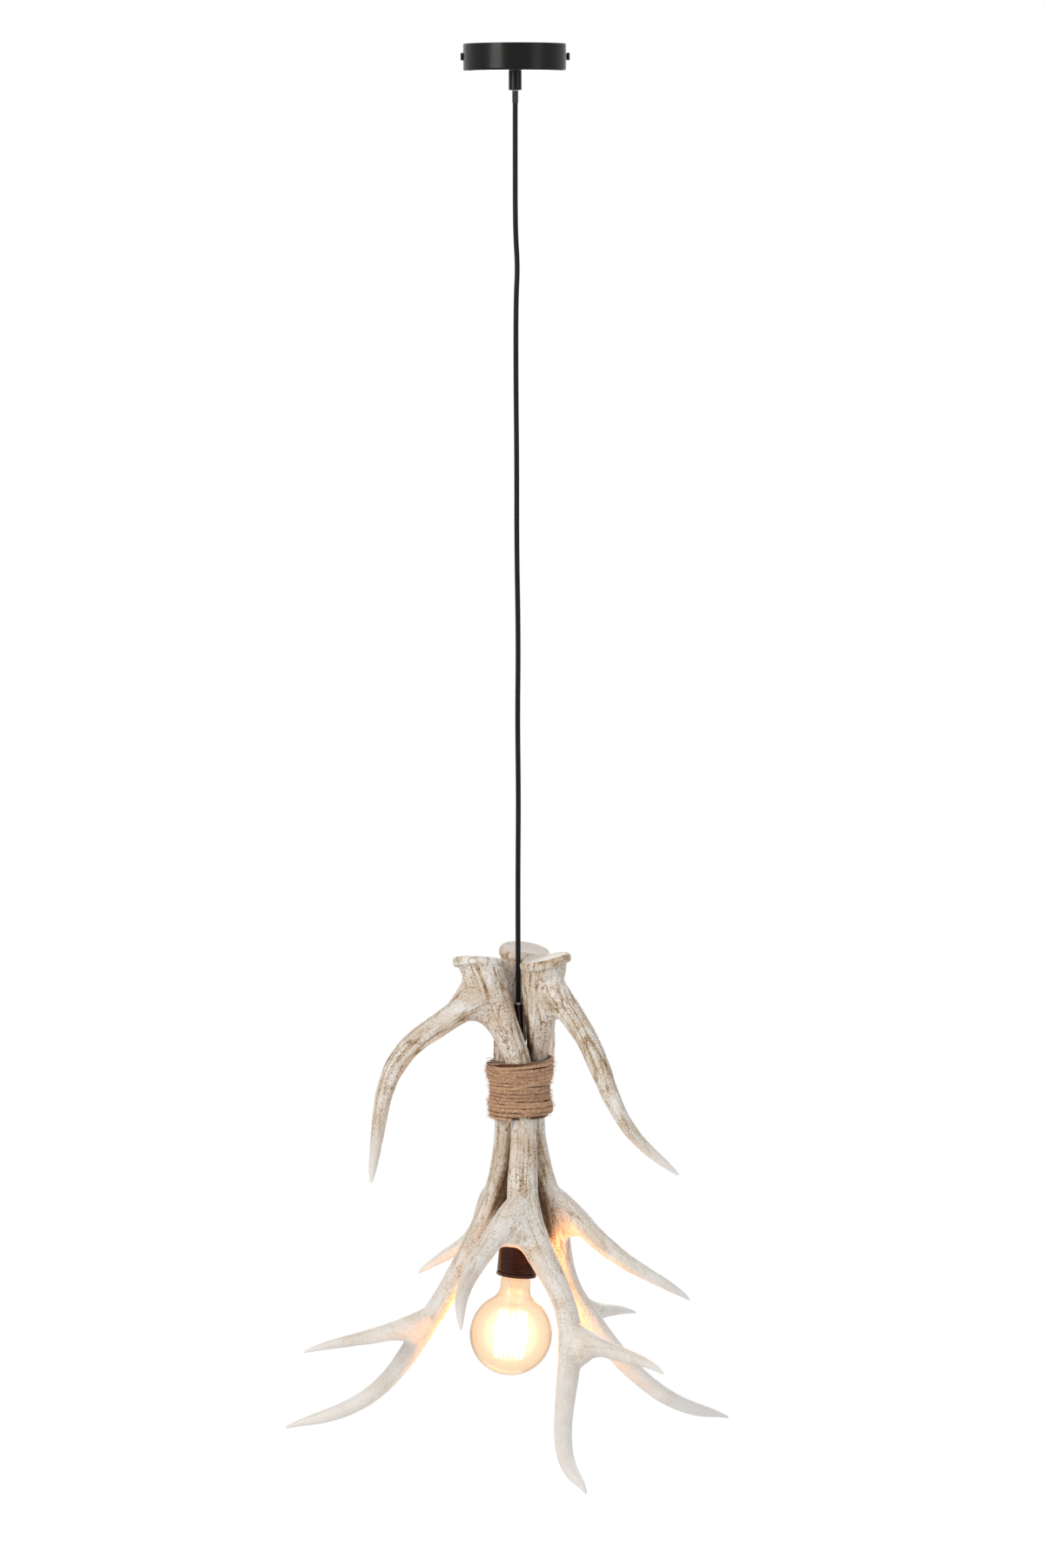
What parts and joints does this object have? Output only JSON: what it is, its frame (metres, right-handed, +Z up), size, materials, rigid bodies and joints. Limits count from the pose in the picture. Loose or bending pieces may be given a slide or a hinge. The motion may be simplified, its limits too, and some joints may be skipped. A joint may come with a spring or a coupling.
{
  "type": "antler pendant lamp",
  "caption": "Pendant lamp of cast antlers bound with twine round a central tube, hung by a cord from a cup canopy, with a clear globe bulb in a threaded lampholder.",
  "frame": {"origin": "on the ceiling plane, at the middle of the canopy", "axes": "+Z up, +X to the right, -Y towards the viewer; everything hangs below Z = 0"},
  "size_m": [0.4452, 0.4358, 1.3697],
  "materials": {
    "zinc_steel": "satin",
    "black_metal": "satin",
    "white_plastic": "matte",
    "brass": "satin",
    "brown_core": "satin",
    "black_cable": "satin",
    "braid": "matte",
    "bronze_metal": "satin",
    "bone_resin": "matte",
    "jute": "matte",
    "black_plastic": "gloss",
    "clear_glass": "gloss",
    "lit_filament": "matte"
  },
  "bodies": {
    "canopy": {"ceiling_bracket": "zinc_steel", "canopy_shell": "black_metal", "canopy_side_screws": "black_metal", "terminal_block": "white_plastic", "terminal_tubes": "brass", "terminal_screws": "zinc_steel", "earth_screw": "brass", "earth_lug": "brass", "canopy_wires": "brown_core", "grip_nipple": "zinc_steel", "grip_locknut": "zinc_steel", "cord_grip": "black_metal", "grip_screw": "black_metal", "cord_in_canopy": "black_cable"},
    "bend": {"cord_bend": "black_cable"},
    "hanging_cord": {"cord": "black_cable", "cord_collar": "braid"},
    "lamp": {"centre_tube": "bronze_metal", "tube_bush": "zinc_steel", "cord_in_tube": "black_cable", "antler_hub": "zinc_steel", "antler_screws": "zinc_steel", "antler_front": "bone_resin", "antler_right": "bone_resin", "antler_left": "bone_resin", "twine_core": "jute", "twine_winding": "jute", "tube_locknut": "zinc_steel", "holder_cap": "bronze_metal", "holder_skirt": "bronze_metal", "holder_insert": "white_plastic", "holder_screws": "brass", "holder_wires": "brown_core", "holder_screw_shell": "brass", "holder_contact": "brass"},
    "bulb_button": {"bulb_contact": "zinc_steel"},
    "bulb": {"bulb_insulator": "black_plastic", "bulb_cap": "brass", "bulb_glass": "clear_glass", "bulb_stem": "clear_glass", "bulb_filaments": "lit_filament"}
  },
  "joints": [
    {"name": "swing_front_back", "type": "hinge", "parent": "canopy", "child": "bend", "pos_m": [0, 0, -0.0416], "axis": [1, 0, 0], "range_deg": [-20, 20]},
    {"name": "swing_side", "type": "hinge", "parent": "bend", "child": "hanging_cord", "pos_m": [0, 0, -0.0416], "axis": [0, 1, 0], "range_deg": [-20, 20]},
    {"name": "lamp_twist", "type": "hinge", "parent": "hanging_cord", "child": "lamp", "pos_m": [0.0012, 0.004, -0.9278], "axis": [0, 0, 1], "range_deg": [-180, 180]},
    {"name": "bulb_travel", "type": "slide", "parent": "lamp", "child": "bulb_button", "axis": [-0.0941, -0.0087, -0.9955], "range_m": [0, 0.01815]},
    {"name": "bulb_turn", "type": "hinge", "parent": "bulb_button", "child": "bulb", "pos_m": [0.00364, 0.00213, -1.14433], "axis": [-0.0941, -0.0087, -0.9955], "range_deg": [0, 1800]}
  ],
  "couplings": [
    {"joint": "bulb_travel", "follows": "bulb_turn", "m_per_rad": 0.0005775}
  ]
}
